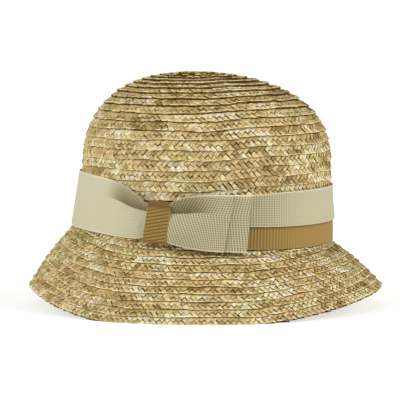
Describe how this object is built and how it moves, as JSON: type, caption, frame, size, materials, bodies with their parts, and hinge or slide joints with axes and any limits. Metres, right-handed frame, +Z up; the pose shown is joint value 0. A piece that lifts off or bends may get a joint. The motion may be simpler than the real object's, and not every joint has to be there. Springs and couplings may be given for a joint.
{
  "type": "cloche hat",
  "caption": "Bell-shaped hat of sewn straw plait with a rounded crown, a down-turned brim, a two-tone ribbon band, a wide sash and a flat side bow.",
  "frame": {"origin": "middle of the bounding box on the surface that the rim rests on", "axes": "+X to the back of the hat, along its length; -Y the side with the bow; +Z up"},
  "size_m": [0.2698, 0.234, 0.1793],
  "materials": {
    "straw": "natural plaited wheat straw, satin",
    "sage_ribbon": "ribbed grosgrain, matte with a faint sheen",
    "caramel_ribbon": "ribbed grosgrain, matte with a faint sheen"
  },
  "bodies": {
    "root": {"straw_body": "straw", "caramel_band": "caramel_ribbon", "sage_band": "sage_ribbon", "sage_sash": "sage_ribbon", "bow_loop_under": "sage_ribbon", "bow_loop_upper": "sage_ribbon", "bow_knot": "caramel_ribbon"}
  },
  "joints": []
}
